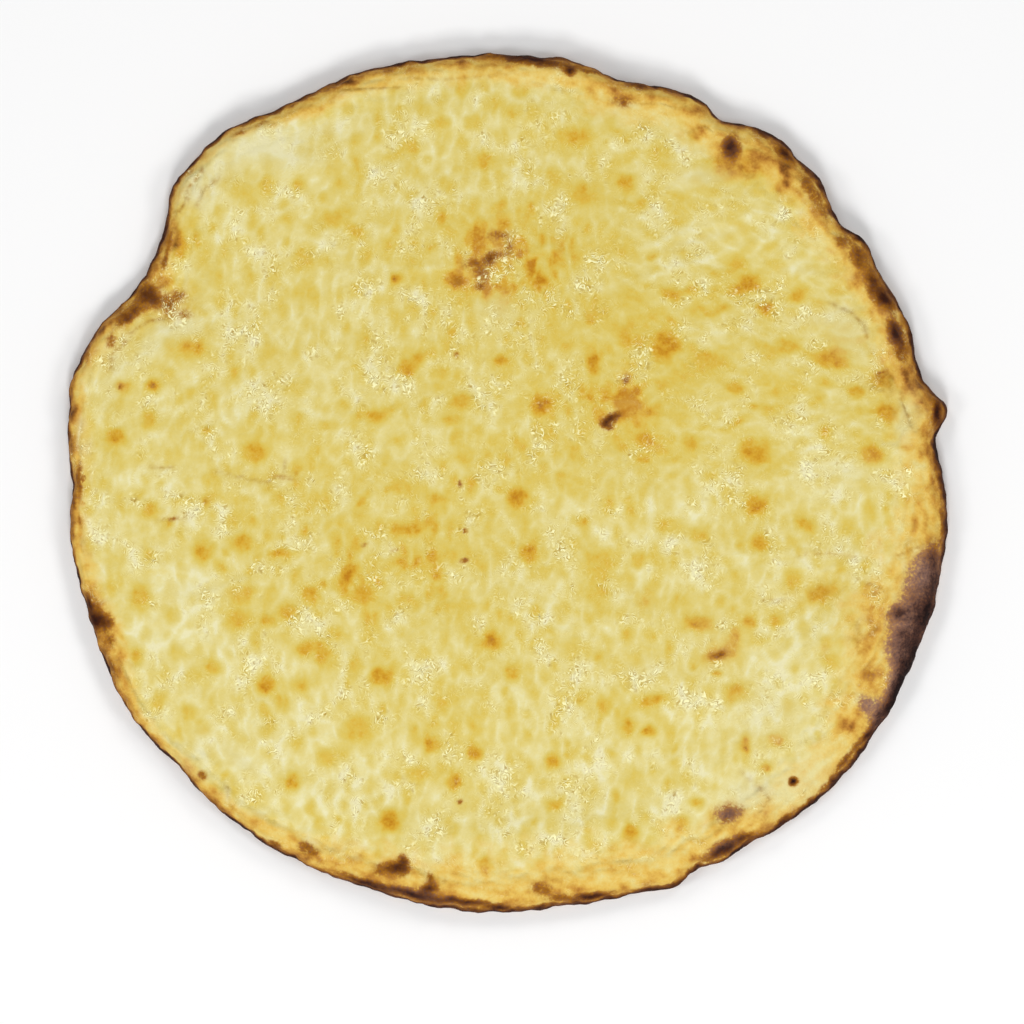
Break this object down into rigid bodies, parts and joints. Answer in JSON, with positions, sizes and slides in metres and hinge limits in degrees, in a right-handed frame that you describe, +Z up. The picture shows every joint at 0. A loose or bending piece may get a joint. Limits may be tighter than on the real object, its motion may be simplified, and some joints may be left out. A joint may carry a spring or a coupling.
{
  "type": "cheese-topped flatbread",
  "caption": "Round, thin baked flatbread with a puffed, toasted rim, topped nearly to its edge with browned melted cheese.",
  "frame": {"origin": "on the table, under the middle of the bread's bounding box", "axes": "+Z up, out of the cheese; +X to the right and +Y to the far side, as seen from above"},
  "size_m": [0.2786, 0.2718, 0.0145],
  "materials": {
    "toasted_dough": "matte baked crust, golden on top, browned and charred along the edge",
    "melted_cheese": "oily melted cheese with browned blisters"
  },
  "bodies": {
    "root": {"bread": "toasted_dough", "cheese": "melted_cheese"}
  },
  "joints": []
}
